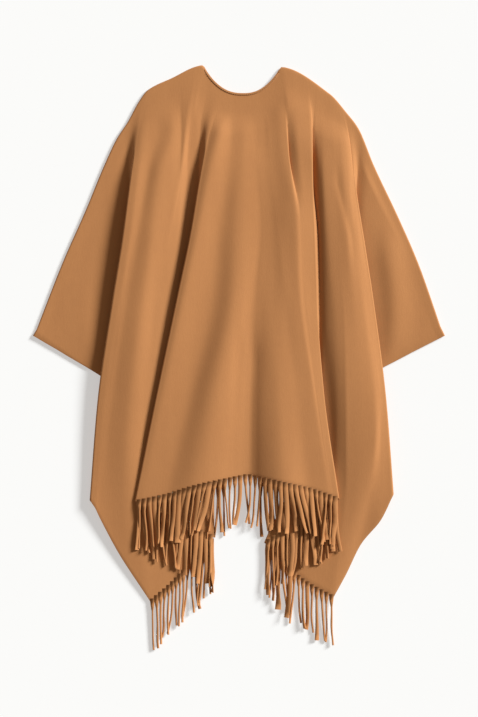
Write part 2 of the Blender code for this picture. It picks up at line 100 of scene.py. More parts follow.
# Ribs run from the shoulder line or the neckline to the side edge or the hem. ROWS are shares of
# the way down a rib: RIBS holds its place across at each of them, and RIB_HEIGHTS its height at
# all but the first, with z_tip for the fringe's ends.
ROWS = (0.0, 0.1, 0.2, 0.35, 0.5, 0.75, 1.0)
RIBS = (
    # name, foot_y, x_top, x_10, x_20, x_35, x_50, x_75, x_foot
    ("cuff_left", -602, -406, -393, -380, -360, -341, -308, -276),
    ("sleeve_left_1", -622, -355, -344, -333, -316, -299, -271, -243),
    ("sleeve_left_2", -638, -304, -295, -286, -273, -260, -237, -215),
    ("sleeve_left_3", -653, -259, -252, -245, -235, -224, -207, -190),
    ("valley_a", -666, -232, -226, -219, -210, -200, -184, -168),
    ("crest_a", -848, -196, -205, -215, -230, -249, -278, -294),
    ("roll_a", -860, -189, -194, -204, -219, -238, -267, -286),
    ("side_left_1", -873, -164, -164, -182, -202, -224, -255, -280),
    ("side_left_2", -944, -140, -136, -159, -180, -200, -226, -243),
    ("corner_left", -1043, -125, -118, -123, -153, -176, -186, -179),
    ("side_left_3", -1013, -101, -109, -117, -129, -140, -142, -143),
    ("side_left_4", -978, -84, -98, -106, -104, -106, -108, -108),
    ("neck_left", -954, -70, -90, -97, -87, -82, -81, -80),
    ("valley_b", -918, -61, -81, -85, -71, -62, -58, -57),
    ("crest_b", -846, -36, -62, -78, -98, -123, -165, -206),
    ("roll_b", -844, -24, -44, -63, -87, -112, -154, -194),
    ("dip_1", -835, -16, -19, -26, -44, -57, -104, -150),
    ("ridge_1", -816, 2, 2, -2, -9, -16, -52, -88),
    ("dip_2", -796, 29, 29, 29, 36, 26, 15, 11),
    ("ridge_2", -810, 39, 43, 46, 57, 61, 70, 80),
    ("dip_3", -822, 47, 54, 60, 73, 86, 109, 132),
    ("ridge_3", -834, 73, 82.5, 91.3, 104, 108, 136, 168),
    ("dip_4", -836, 76, 87, 91.4, 114, 119, 143, 174),
    ("shelf", -838, 100, 106, 112, 126, 131, 149, 178),
    ("crest_c", -840, 125, 134.5, 135, 138.5, 143, 157.5, 186.5),
    ("valley_c", -930, 146, 138, 138, 150, 152, 140, 46),
    ("side_right_1", -972, 153, 149, 151, 157, 163, 170, 86),
    ("side_right_2", -1004, 159, 160, 162, 170, 182, 187, 124),
    ("corner_right", -1034, 166, 178, 182, 192, 200, 203, 179),
    ("side_right_3", -990, 176, 190, 196, 207, 219, 232, 203),
    ("side_right_4", -931, 185, 203, 208, 219, 238, 258, 232),
    ("side_right_5", -883, 195, 211, 215, 229, 246, 270, 271),
    ("crest_d", -838, 203, 212.5, 220, 237, 254, 278, 293),
    ("valley_d", -630, 232, 228, 224, 217, 211, 200, 190),
    ("sleeve_right_1", -620, 252, 248, 243, 237, 230, 220, 209),
    ("sleeve_right_2", -609, 289, 283, 277, 268, 260, 245, 230),
    ("sleeve_right_3", -598, 333, 325, 317, 305, 292, 272, 252),
    ("cuff_right", -586, 394, 382, 370, 352, 334, 305, 275),
)
RIB_HEIGHTS = (
    # name, z_10, z_20, z_35, z_50, z_75, z_foot, z_tip
    ("cuff_left", 4, 4, 3.8, 3.6, 3.6, 3.6, 0),
    ("sleeve_left_1", 4.6, 5, 6, 6.5, 6, 5, 0),
    ("sleeve_left_2", 4.2, 4.4, 5, 5.5, 5, 3.6, 0),
    ("sleeve_left_3", 4.4, 4.6, 4.4, 4.4, 4, 3.6, 0),
    ("valley_a", 4, 4, 3.8, 3.6, 3.6, 3.6, 0),
    ("crest_a", 12, 22, 27, 26, 20, 14, 0),
    ("roll_a", 13, 22.5, 27.5, 26.5, 20.7, 13.6, 0),
    ("side_left_1", 11.5, 19.5, 25.5, 26, 20.7, 12.6, 0),
    ("side_left_2", 13.5, 23.5, 28, 28.5, 22.5, 8, 0),
    ("corner_left", 11.5, 18.5, 21.8, 21.5, 13.3, 4.2, 2),
    ("side_left_3", 11.5, 16.5, 17, 15.5, 9, 4.4, 2),
    ("side_left_4", 9.5, 10.5, 9.5, 8.5, 7, 4.4, 3),
    ("neck_left", 8.5, 9, 8.5, 8, 6.5, 4.4, 3),
    ("valley_b", 7, 8, 8.5, 8, 6, 4, 4),
    ("crest_b", 14, 24, 28.5, 29.5, 27, 20, 12),
    ("roll_b", 19, 27, 30, 31, 28, 20.5, 13),
    ("dip_1", 14, 21, 23, 24, 25, 21, 15),
    ("ridge_1", 14.5, 22, 26.5, 30, 34, 28.5, 14),
    ("dip_2", 12, 19, 21.5, 22.5, 20, 12, 6),
    ("ridge_2", 12, 18.5, 22.5, 24, 28, 28.5, 13),
    ("dip_3", 12.5, 19, 24.5, 26, 25.5, 20.5, 15),
    ("ridge_3", 12.5, 20, 27.5, 26.5, 25, 19.5, 16),
    ("dip_4", 12.2, 15, 25.5, 24, 23.5, 19, 16),
    ("shelf", 12.8, 20.6, 23, 21.5, 22.5, 18.5, 15),
    ("crest_c", 12.4, 20.5, 20.5, 19.5, 21, 18, 14),
    ("valley_c", 10.4, 6, 12, 14, 8, 4, 4),
    ("side_right_1", 12.6, 17, 19.5, 21.5, 9.5, 4.4, 3),
    ("side_right_2", 14.5, 21.5, 25, 27.5, 15, 4.4, 2),
    ("corner_right", 15.8, 22.6, 27.6, 30, 18.5, 4.2, 2),
    ("side_right_3", 15.8, 23.2, 28.3, 29.5, 22, 4.6, 0),
    ("side_right_4", 14.2, 21, 26, 27, 24, 6, 0),
    ("side_right_5", 11, 17.8, 22.5, 23.5, 20.3, 10.5, 0),
    ("crest_d", 9, 15, 18, 19.5, 17.8, 12, 0),
    ("valley_d", 4, 4, 3.8, 3.6, 3.6, 3.6, 0),
    ("sleeve_right_1", 8, 8, 7, 5, 3.6, 3.6, 0),
    ("sleeve_right_2", 7, 7.5, 6.5, 5, 4, 3.6, 0),
    ("sleeve_right_3", 5, 5.5, 6, 6, 5, 4.4, 0),
    ("cuff_right", 4, 4, 4, 3.8, 3.6, 3.6, 0),
)
RIB_COLUMNS = ("foot_y", "x_top", "x_10", "x_20", "x_35", "x_50", "x_75", "x_foot",
               "z_10", "z_20", "z_35", "z_50", "z_75", "z_foot", "z_tip")

# Soon below the shoulder line the cloth has risen by a share of its first height, up to a most
EARLY_ROW = 0.045
EARLY_RISE = 0.35
EARLY_MOST = 2.1
RIB_NAMES = [rib[0] for rib in RIBS]
TOP_LINE_POINTS = 1600

# Stretches of cloth between the folds
STRETCHES = (
    # name, first rib, last rib, corner ribs inside it
    ("sleeve_left", "cuff_left", "valley_a", ()),
    ("side_left", "crest_a", "valley_b", ("corner_left",)),
    ("middle", "crest_b", "crest_c", ("dip_2", "dip_4")),
    ("side_right", "valley_c", "crest_d", ("corner_right",)),
    ("sleeve_right", "valley_d", "cuff_right", ()),
)

# Folds: where they leave the shoulder line's own curve and the share of the rows above it, how
# tight their arcs are for their rise, and the rise over the run that makes a fold a steep one
FOLDS_START = 0.24
ROWS_ABOVE = 0.36
FOLD_RADIUS_SHARE = 0.235
FOLD_RADIUS_LIMIT = 0.24
FOLD_RADIUS_MAX = 2.0
FOLD_RISE_MIN = 0.01
FULL_FOLD = 2.6
STEEP_FROM = 0.45
STEEP_AT = 1.0

# Soft waves that the cloth keeps between its folds, as ridges (+) and dips (-) along a line. Past
# its ends each fades out over a length of its own, and near the folds all do.
WAVES = (
    # stretch, height, half width to the left, half width to the right, fade, line of (x, y)
    ("middle", -1.5, 9, 9, 40, ((-4, -571), (-8, -630), (-10, -688), (-17, -747), (-15, -790))),
    ("middle", -2.6, 4, 13, 50, ((21, -580), (18, -650), (17, -720), (17, -790))),
    ("middle", 0.5, 5, 5, 60, ((0, -520), (-5, -640), (-6, -700), (-10, -760))),
    ("middle", 1.2, 14, 9, 24, ((73, -100), (79, -162), (86, -201), (94, -238))),
    ("side_right", -1.3, 6, 12, 30, ((187, -230), (201, -283), (215, -337))),
    ("sleeve_right", 4, 20, 26, 50, ((288, -380), (296, -435), (299, -493), (297, -542))),
)
WAVE_EDGE = 14.0

# Neck edge: a flat tube along the neckline, with a row of stitches. EDGE_ENDS are the shares of
# its width and thickness that it keeps at its ends.
EDGE_X = (-76.0, 75.0)
EDGE_SECTIONS = 121
EDGE_CORNERS = 8
EDGE_LIFT = 0.9
EDGE_LIES = 0.5
EDGE_THICK = 1.8
EDGE_TAPER = 8
EDGE_ENDS = (0.35, 0.5)
EDGE_ROUND = (0.6, 0.8)
STITCH_SHARE = 0.78
STITCH_SECTIONS = 4
STITCH_HALF = (0.42, 0.3)
STITCH_RISE = 0.25
STITCH_INSET = 0.35
STITCHES_LEFT_OUT = 2
STITCH_END = 0.55
STITCH_SECTION = np.array(((-1, 0), (0, -1), (1, 0), (0, 1)))

# Fronts, flat on the floor: where the cloth under each point of the shoulder line ends
FRONT_CUFFS = (
    # name, side, foot_x, foot_y
    ("left", -1, 277, 599),
    ("right", 1, 268, 577),
)
FRONT_CUFF_SHARES = (
    # top_x, how far along the cuff
    (304, 1.0),
    (355, 0.7),
    (406, 0.35),
)
FRONT_FEET = (
    # top_x, foot_x, foot_y
    (259, 258, 650),
    (226, 241, 705),
    (201, 220, 775),
    (187, 195, 850),
    (140, 135, 840),
    (96, 75, 826),
)
FRONT_CORNER_X = 195.3
FRONT_NECK_DEPTH = 142.0
FRONT_OPENING_X = 18.0
FRONT_OPENING_FOOT = (31.0, 816.0)
FRONT_NECK_STEPS = 16
FRONT_ROWS = 41
FRONT_TIP_Z = 1.3
SEAM_GAP = 0.3

# How the fringe of the back's middle hangs: its lean to the right as a share of its length, and
# the share of its strands that have rolled up lengthwise
FRINGE_HANG = (
    # x, lean, curled
    (-211, 0.08, 0.3),
    (-189, 0.06, 0.3),
    (-160, 0, 0.25),
    (-121, -0.05, 0.15),
    (-92, -0.14, 0.1),
    (-72, -0.2, 0.1),
    (-53, -0.1, 0.3),
    (-33, 0, 0.9),
    (39, 0, 0.9),
    (52, 0.02, 0.1),
    (94, 0.12, 0.1),
    (113, 0.22, 0.15),
    (133, 0.16, 0.2),
    (162, 0.04, 0.3),
    (187, 0, 0.3),
)
MIDDLE_HEM_ABOVE = -855.0
LOWER_HEMS_REACH = 120.0
LOWER_HEMS_CURLED = 0.9
LEAN_FADES = 4.0

# Fringe strands: pairs are the least and the most, and scatters are standard deviations. What
# starts or ends part of the way down a strand does so at a share of its length.
STRAND_LENGTHS = (0.93, 1.04)
STRAND_WIDTHS = (0.8, 1.1)
GROUP_SCATTER = 0.5
SWAY_SCATTER = 0.45
RIPPLE = (0.4, 1.4)
RIPPLE_WAVES = (0.6, 1.6)
HANGS_AT = 0.25
CURL_STARTS = 0.02
CURL_RANGE = 0.2
CURLED_WIDTH = 0.42
CURLED_THICKNESS = 1.5
FLARED_WIDTH = 1.45
FLARED_SHARE = 0.12
TWIST_SCATTER = 0.45
TWIST_RIPPLE = 0.4
LAYERS = 3
LAYER_HEIGHT = 1.3
LAYER_SCATTER = 0.8
LAYER_AT = 0.5
TWISTED_LIFT = 0.9
FLOOR_GAP = 0.1
ROOT_SHARE = 0.22
FRINGE_OVERLAP = 3.0
FRINGE_RISE = 0.5
FRINGE_SECTIONS = 9
BACK_SEED = 7
FRONT_SEED = 20

# A fringe strand's section, as shares of its half width and half thickness, and how wide the
# pattern of fibres lies across that half width, in millimetres
STRAND_SECTION = np.array(((-1, 0), (-0.84, -1), (0.84, -1), (1, 0), (0.84, 1), (-0.84, 1)))
STRAND_UV = 4.0

# Noises of the wool, on places stretched along y
WOOL_NOISES = (
    # name, share of y, scale, detail, roughness, weight in the colour, weight in the bump
    ("nap", 1, 620, 5, 0.7, 0.55, 0.7),
    ("thread", 0.22, 420, 2, 0.55, 0.35, 0.5),
    ("cloud", 1, 60, 3, 0.55, 0.35, 0),
    ("patch", 1, 7, 2, 0.55, 0.35, 0),
    ("brushed", 0.1, 55, 3, 0.55, 0.5, 0),
)
WOOL_TONE = 0.55
FIBRE_STRETCH = 0.07
FIBRE_SCALE = 1100.0
FIBRE_WEIGHT = 1.1
STRAND_SHADES = (0.2, 0.8)
SHADE_WEIGHT = 0.9
THREAD_DARK = 0.6

# Floor, light and camera, in metres: the camera frames PHOTO_SPAN of the floor round PHOTO_MIDDLE
FLOOR_HALF = 6.0
FLOOR_Z = -0.0004
KEY_FROM = (2.29, 1.43, 1.32)
SENSOR_MM = 36.0
PHOTO_SPAN = 1.398
PHOTO_MIDDLE = (0.0001, 0.0016)
CLOTH_TOP = 0.01


class PonchoCloth(bpy.types.PropertyGroup):
    """Sizes and colours of the cloth."""
    thickness: FloatProperty(name="Thickness", description="Thickness of the felted wool",
                             default=2 * HALF_WALL * MM, min=0.001, max=0.004, unit="LENGTH")
    rib_steps: IntProperty(name="Rib steps", description="Columns of cloth from rib to rib",
                           default=7, min=2, max=12)
    fold_steps: IntProperty(name="Fold steps", description="Columns on each arc of a fold",
                            default=8, min=4, max=12)
    rows: IntProperty(name="Rows", description="Rows of cloth from the shoulder to the hem",
                      default=96, min=24, max=160)
    wool: FloatVectorProperty(name="Wool", description="Colour of the wool's raised nap",
                              subtype="COLOR", size=4, default=(0.49, 0.215, 0.078, 1.0))
    wool_deep: FloatVectorProperty(name="Wool ground", description="Colour between the fibres",
                                   subtype="COLOR", size=4, default=(0.41, 0.172, 0.060, 1.0))
    edge_width: FloatProperty(name="Edge width", description="Width of the turned neck edge",
                              default=0.0052, unit="LENGTH")
    stitch: FloatProperty(name="Stitch", description="Distance from stitch to stitch",
                          default=0.0042, unit="LENGTH")
    thread: FloatVectorProperty(name="Thread", description="Colour of the topstitching",
                                subtype="COLOR", size=4, default=(0.36, 0.18, 0.075, 1.0))


class PonchoFringe(bpy.types.PropertyGroup):
    """Sizes of the fringe."""
    width: FloatProperty(name="Strand width", description="Width of one cut strand",
                         default=0.0092, unit="LENGTH")
    length: FloatProperty(name="Strand length", description="Length of the strands",
                          default=0.101, unit="LENGTH")
    pitch: FloatProperty(name="Pitch", description="Distance from strand to strand along the hem",
                         default=0.0102, unit="LENGTH")
    sway: FloatProperty(name="Sway", description="How far the strands lean to either side",
                        default=math.radians(5), subtype="ANGLE")
    grouping: FloatProperty(name="Grouping", description="Turn of the sway from strand to strand",
                            default=math.radians(75), subtype="ANGLE")
    curl: FloatProperty(name="Curl", description="Scale of the share of rolled-up strands",
                        default=1.0, subtype="FACTOR")


class PonchoStudio(bpy.types.PropertyGroup):
    """Floor, lights and camera."""
    floor: FloatVectorProperty(name="Floor", description="Colour of the floor",
                               subtype="COLOR", size=4, default=(0.50, 0.50, 0.50, 1.0))
    glow: FloatProperty(name="Glow", description="Light that the floor gives off", default=0.45)
    key: FloatProperty(name="Key light", description="Strength of the main light", default=5.75)
    key_softness: FloatProperty(name="Key softness", description="How wide the key light looks",
                                default=math.radians(16), subtype="ANGLE")
    key_colour: FloatVectorProperty(name="Key colour", description="Colour of the key light",
                                    subtype="COLOR", size=3, default=(0.97, 1.0, 1.0))
    fill: FloatProperty(name="Fill", description="Strength of the even light", default=0.25)
    fill_colour: FloatVectorProperty(name="Fill colour", description="Colour of the even light",
                                     subtype="COLOR", size=4, default=(1.0, 0.88, 0.75, 1.0))
    distance: FloatProperty(name="Camera distance", default=4.0, unit="LENGTH",
                            description="Height of the camera above the cloth")


def in_place(points):
    """Millimetres from the middle of the neck to metres in the frame."""
    return (points + PLAN_SHIFT) * MM


def unit(vectors):
    """The same vectors with length 1."""
    return vectors / np.linalg.norm(vectors, axis=-1, keepdims=True)


def smooth_step(t):
    """0 below 0, 1 above 1, and 3t^2 - 2t^3 between."""
    t = np.clip(t, 0, 1)
    return t * t * (3 - 2 * t)


def smooth_through(knots, values, where):
    """Monotone cubic Hermite curve: the tangent at a knot is the harmonic mean of the slopes
    beside it, or zero where they differ in sign, so the curve never swings past its knots."""
    knots, values = np.asarray(knots, float), np.asarray(values, float)
    step = np.diff(knots)
    slope = np.diff(values.T).T / step.reshape((-1,) + (1,) * (values.ndim - 1))
    tangent = np.zeros_like(values)
    same_way = slope[1:] * slope[:-1] > 0
    both = np.where(same_way, slope[1:] + slope[:-1], 1.0)
    tangent[1:-1] = np.where(same_way, 2 * slope[1:] * slope[:-1] / both, 0.0)
    tangent[0], tangent[-1] = slope[0], slope[-1]
    cell = np.clip(np.searchsorted(knots, where, side="right") - 1, 0, len(step) - 1)
    width = step[cell]
    part = (where - knots[cell]) / width
    if values.ndim > 1:
        width, part = width[:, None], part[:, None]
    low, high = values[cell], values[cell + 1]
    bend_low, bend_high = tangent[cell] * width, tangent[cell + 1] * width
    return (low * (1 + 2 * part) * (1 - part) ** 2 + bend_low * part * (1 - part) ** 2
            + high * part ** 2 * (3 - 2 * part) - bend_high * part ** 2 * (1 - part))


def at_columns(values, where):
    """Values of a row read between its columns, straight from one to the next."""
    low = np.clip(np.floor(where).astype(int), 0, len(values) - 2)
    part = (where - low).reshape((-1,) + (1,) * (values.ndim - 1))
    return values[low] * (1 - part) + values[low + 1] * part


def neck_share(x):
    """0 on the shoulders, where the cloth rolls over to the front, and 1 on the neckline."""
    return np.clip((ROLL_FADES_FROM - np.abs(x)) / (ROLL_FADES_FROM - ROLL_ENDS_AT), 0.0, 1.0)


def top_line(x):
    """Plan points of the cloth's first row. Height is the shoulder line less the neck scoop, depth
    times (1 - |x / half width| ** roundness), set in by the shoulder roll."""
    line = np.array(SHOULDER_LINE)
    dense = np.linspace(line[0, 0], line[-1, 0], TOP_LINE_POINTS)
    height = smooth_through(line[:, 0], line[:, 1], dense)
    scoop = NECK_DEPTH * (1 - np.abs(dense / NECK_HALF_WIDTH) ** NECK_ROUNDNESS)
    height = height - np.maximum(scoop, 0.0)
    slope = np.gradient(height, dense)
    inward = np.stack((slope, -np.ones_like(slope)), axis=1) / np.hypot(slope, 1.0)[:, None]
    neck = neck_share(dense)
    inset = (1 - neck) * (ROLL_RADIUS + HALF_WALL) + neck * math.pi * ROLL_RADIUS
    moved = np.stack((dense, height), axis=1) + inward * inset[:, None]
    order = np.argsort(moved[:, 0])
    return np.stack((x, np.interp(x, moved[order, 0], moved[order, 1])), axis=-1)


def stretch_sizes(first, last, corners, steps):
    """Rib sizes at every column of a stretch, smooth from rib to rib but for its corners."""
    start, stop = RIB_NAMES.index(first), RIB_NAMES.index(last)
    rows = np.array([rib[1:] + heights[1:] for rib, heights in
                     zip(RIBS[start:stop + 1], RIB_HEIGHTS[start:stop + 1])], float)
    count = stop - start
    where = np.linspace(0, count, count * steps + 1)
    cuts = [0] + [RIB_NAMES.index(name) - start for name in corners] + [count]
    values = np.empty((len(where), rows.shape[1]))
    for low, high in zip(cuts, cuts[1:]):
        inside = (where >= low) & (where <= high)
        values[inside] = smooth_through(np.arange(low, high + 1), rows[low:high + 1],
                                        where[inside])
    return dict(zip(RIB_COLUMNS, values.T))


def wave_height(name, points):
    """Sum of the stretch's waves: height times exp(-(d / half width) ** 2), where d is the
    distance in x from the wave's line, times exp(-(past / fade) ** 2) past the line's ends. All
    are scaled by 1 - exp(-(e / WAVE_EDGE) ** 2), where e is the distance to the stretch's end."""
    x, y = points[..., 0], points[..., 1]
    total = np.zeros_like(x)
    for stretch, height, left, right, fade, line in WAVES:
        if stretch == name:
            path = np.array(line, float)[::-1]
            inside = np.clip(y, path[0, 1], path[-1, 1])
            middle = smooth_through(path[:, 1], path[:, 0], inside.ravel()).reshape(x.shape)
            across = (x - middle) / np.where(x < middle, left, right)
            past = (y - inside) / fade
            total += height * np.exp(-across ** 2 - past ** 2)
    to_end = np.minimum(np.abs(x - x[:, :1]), np.abs(x - x[:, -1:])) / WAVE_EDGE
    return total * (1 - np.exp(-to_end ** 2))


def stretch_points(name, sizes, down):
    """Middle of the wall along one stretch. Each column goes evenly down from its top to its foot,
    and its place across and its height run smoothly through the values at ROWS. At EARLY_ROW it
    has risen by EARLY_RISE of the way to its first height, or by EARLY_MOST if that is less."""
    top = top_line(sizes["x_top"])
    start = np.full_like(sizes["z_10"], TOP_ROW_Z)
    early = start + np.minimum(EARLY_RISE * (sizes["z_10"] - start), EARLY_MOST)
    x = smooth_through(ROWS, np.stack([sizes[name] for name in RIB_COLUMNS[1:8]]), down)
    y = top[:, 1] + (sizes["foot_y"] - top[:, 1]) * down[:, None]
    heights = [start, early] + [sizes[name] for name in RIB_COLUMNS[8:14]]
    z = smooth_through((0.0, EARLY_ROW, *ROWS[1:]), np.stack(heights), down)
    points = np.stack((x, y, z), axis=-1)
    points[..., 2] += wave_height(name, points)
    return points


def fold_points(low, high, side, arc_steps, down):
    """An S of cloth from the valley line low to the crest line high, both given row by row.

    For a run, a rise and a radius r, the straight part is L = sqrt(run^2 + rise^2 - 4 rise r), and
    each arc turns by atan2(rise - 2r, run) + atan2(2r, L). With a1 and a2 the turns behind and
    ahead at a length s, and m the part of L behind it, the reach is r(sin a1 + sin turn - sin a2)
    + m cos turn, and the lift is r(1 - cos a1 - cos turn + cos a2) + m sin turn. A steep fold has
    tight arcs, with r a share of its rise, and a shallow one the widest that leave L real. Above
    FOLDS_START the points move to the top line's own curve between the two lines, which fades out
    as (1 - t) ** 2.
    """
    along = unit((low[-1] - low[0] + high[-1] - high[0])[:2])
    across = side * np.array((-along[1], along[0]))
    rise = np.maximum(high[:, 2] - low[:, 2], FOLD_RISE_MIN)
    run = (high - low)[:, :2] @ across
    slip = ((high - low)[:, :2] @ along)[:, None]
    tight = np.minimum(rise * FOLD_RADIUS_SHARE, FOLD_RADIUS_MAX)
    widest = FOLD_RADIUS_LIMIT * (run ** 2 + rise ** 2) / rise
    steep = smooth_step((rise / np.maximum(run, 1.0) - STEEP_FROM) / (STEEP_AT - STEEP_FROM))
    radius = np.minimum(tight * steep + widest * (1 - steep), widest)
    straight = np.sqrt(run ** 2 + rise ** 2 - 4 * rise * radius)
    turn = np.arctan2(rise - 2 * radius, run) + np.arctan2(2 * radius, straight)
    radius, straight, turn = radius[:, None], straight[:, None], turn[:, None]
    arc = radius * turn
    length = straight + 2 * arc
    round_part = np.linspace(0, 1, arc_steps + 1)
    inner = np.linspace(0, 1, arc_steps + 2)[1:-1]
    bunched = np.concatenate((arc * round_part, arc + straight * inner,
                              length - arc * round_part[::-1]), axis=1)
    even = length * np.linspace(0, 1, bunched.shape[1])
    folded = np.clip(turn / FULL_FOLD, 0, 1)
    where = folded * bunched + (1 - folded) * even
    behind = np.clip(where / radius, 0, turn)
    ahead = np.clip((length - where) / radius, 0, turn)
    middle = np.clip(where - arc, 0, straight)
    reach = radius * (np.sin(behind) + np.sin(turn) - np.sin(ahead)) + middle * np.cos(turn)
    lift = radius * (1 - np.cos(behind) - np.cos(turn) + np.cos(ahead)) + middle * np.sin(turn)
    share = where / length
    plan = low[:, None, :2] + reach[..., None] * across + (slip * share)[..., None] * along
    top_x = low[0, 0] + (high[0, 0] - low[0, 0]) * share
    chord = low[0, 1] + (high[0, 1] - low[0, 1]) * share
    curve = top_line(top_x.ravel())[:, 1].reshape(top_x.shape)
    plan[..., 1] += (curve - chord) * np.clip(1 - down / FOLDS_START, 0, 1)[:, None] ** 2
    return np.concatenate((plan, (low[:, None, 2] + lift)[..., None]), axis=2)


def back_surface(cloth):
    """Middle of the back's wall, the fringe's end heights, and each stretch's end columns."""
    above = int(cloth.rows * ROWS_ABOVE)
    down = np.concatenate((np.linspace(0, FOLDS_START, above + 1),
                           np.linspace(FOLDS_START, 1, cloth.rows - above + 1)[1:]))
    sizes = [stretch_sizes(*stretch[1:], cloth.rib_steps) for stretch in STRETCHES]
    parts = [stretch_points(stretch[0], size, down) for stretch, size in zip(STRETCHES, sizes)]
    pieces, tips = [parts[0]], [sizes[0]["z_tip"]]
    ends = [(0, parts[0].shape[1] - 1)]
    for left, right, size_left, size_right in zip(parts, parts[1:], sizes, sizes[1:]):
        if left[-1, -1, 2] < right[-1, 0, 2]:
            fold = fold_points(left[:, -1], right[:, 0], 1, cloth.fold_steps, down)
        else:
            fold = fold_points(right[:, 0], left[:, -1], -1, cloth.fold_steps, down)[:, ::-1]
        fold = fold[:, 1:-1]
        share = (fold[-1, :, 2] - left[-1, -1, 2]) / (right[-1, 0, 2] - left[-1, -1, 2])
        tips += [size_left["z_tip"][-1] * (1 - share) + size_right["z_tip"][0] * share,
                 size_right["z_tip"]]
        start = ends[-1][1] + fold.shape[1] + 1
        ends.append((start, start + right.shape[1] - 1))
        pieces += [fold, right]
    return np.concatenate(pieces, axis=1), np.concatenate(tips), ends


def outward_of(line):
    """Plan directions that point out of the cloth along a top edge that runs to the right."""
    tangent = unit(np.gradient(line[:, :2], axis=0))
    return np.stack((-tangent[:, 1], tangent[:, 0]), axis=1)


def with_shoulder_roll(surface):
    """The surface with rows above it that turn over the shoulder: reach r sin(turn), drop
    r(1 - cos turn). The turn goes to half a circle on the shoulders and none on the neckline."""
    first = surface[0]
    outward = outward_of(first)
    neck = neck_share(first[:, 0])
    length = (math.pi * ROLL_RADIUS * np.linspace(1, 0, ROLL_ROWS + 1)[:-1])[:, None]
    turn = (1 - neck) * length / ROLL_RADIUS
    reach = ROLL_RADIUS * np.sin(turn) + neck * length
    rows = first + np.concatenate((outward * reach[..., None],
                                   -ROLL_RADIUS * (1 - np.cos(turn))[..., None]), axis=2)
    return np.concatenate((rows, surface), axis=0)


def grid_normals(surface):
    """Unit normals of a grid of points, up where its columns run right and its rows run down."""
    return unit(np.cross(np.gradient(surface, axis=0), np.gradient(surface, axis=1)))


def front_surface(side, cuff, shoulder):
    """Middle of one front: columns run straight from the shoulder and the neck to the side edge
    and the hem. The neck side is a quarter of an ellipse down to the front opening."""
    level = shoulder[:, :2] - outward_of(shoulder) * SEAM_GAP
    level = level[side * level[:, 0] >= ROLL_FADES_FROM][::-side]
    reach = side * level[-1, 0] - FRONT_OPENING_X
    depth = FRONT_NECK_DEPTH + level[-1, 1]
    angle = np.linspace(0, math.pi / 2, FRONT_NECK_STEPS + 1)[1:]
    neck = np.stack((side * (FRONT_OPENING_X + reach * np.cos(angle)),
                     level[-1, 1] - depth * np.sin(angle)), axis=1)
    feet = np.array(FRONT_FEET, float)
    shares = np.array(FRONT_CUFF_SHARES, float)
    tip = level[0] * (side, -1)
    knots = np.concatenate(((FRONT_OPENING_X,), feet[::-1, 0], shares[:, 0]))
    cuff_feet = tip + (np.array(cuff) - tip) * shares[:, 1:]
    ends = np.concatenate(((FRONT_OPENING_FOOT,), feet[::-1, 1:], cuff_feet))
    top = np.concatenate((level, neck))
    foot = np.stack([np.interp(side * top[:, 0], knots, ends[:, axis]) for axis in (0, 1)],
                    axis=1)
    foot = foot * (side, -1)
    plan = top + (foot - top) * np.linspace(0, 1, FRONT_ROWS)[:, None, None]
    height = np.full(plan.shape[:2] + (1,), HALF_WALL)
    return np.concatenate((plan, height), axis=2)[:, ::-side]


def grid_faces(rows, columns, around=False):
    """Corner numbers of the quads of a grid, whose last column may join its first."""
    number = np.arange(rows * columns).reshape(rows, columns)
    if around:
        number = np.concatenate((number, number[:, :1]), axis=1)
    corners = (number[:-1, :-1], number[1:, :-1], number[1:, 1:], number[:-1, 1:])
    return np.stack(corners, axis=-1).reshape(-1, 4)


def lengths_along(surface, axis):
    """Distance run along one axis of a grid, in millimetres, from its first row or column."""
    step = np.linalg.norm(np.diff(surface, axis=axis), axis=2)
    start = np.zeros_like(np.take(step, [0], axis=axis))
    return np.concatenate((start, np.cumsum(step, axis=axis)), axis=axis)


def add_object(name, data):
    """A new object in the scene."""
    made = bpy.data.objects.new(name, data)
    bpy.context.collection.objects.link(made)
    return made


def add_piece(name, points, faces, uv, material, shade=None):
    """A mesh object in the frame from points in millimetres. uv holds one pair for each point, and
    shade one value."""
    mesh = bpy.data.meshes.new(name)
    mesh.from_pydata(in_place(points).reshape(-1, 3).tolist(), [], faces.tolist())
    corner_uv = uv.reshape(-1, 2)[faces.ravel()] * MM
    mesh.uv_layers.new(name="cloth").data.foreach_set("uv", corner_uv.ravel())
    if shade is not None:
        mesh.attributes.new("shade", "FLOAT", "POINT").data.foreach_set("value", shade.ravel())
    mesh.materials.append(material)
    mesh.shade_smooth()
    piece = add_object(name, mesh)
    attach(piece, "root")
    return piece


def add_cloth(name, wool_name, surface, cloth):
    """A sheet of wool with its thickness to both sides of its middle and softened edges. Its UV
    map holds the lengths along it."""
    uv = np.stack((lengths_along(surface, 1), -lengths_along(surface, 0)), axis=-1)
    wool = felted_wool(wool_name, cloth)
    piece = add_piece(name, surface, grid_faces(*surface.shape[:2]), uv, wool)
    wall = piece.modifiers.new("thickness", "SOLIDIFY")
    wall.thickness, wall.offset = cloth.thickness, 0.0
    edge = piece.modifiers.new("soft_edge", "BEVEL")
    edge.width, edge.segments = cloth.thickness * WALL_BEVEL, 2
    edge.limit_method, edge.angle_limit = "ANGLE", BEVEL_FROM
    return piece


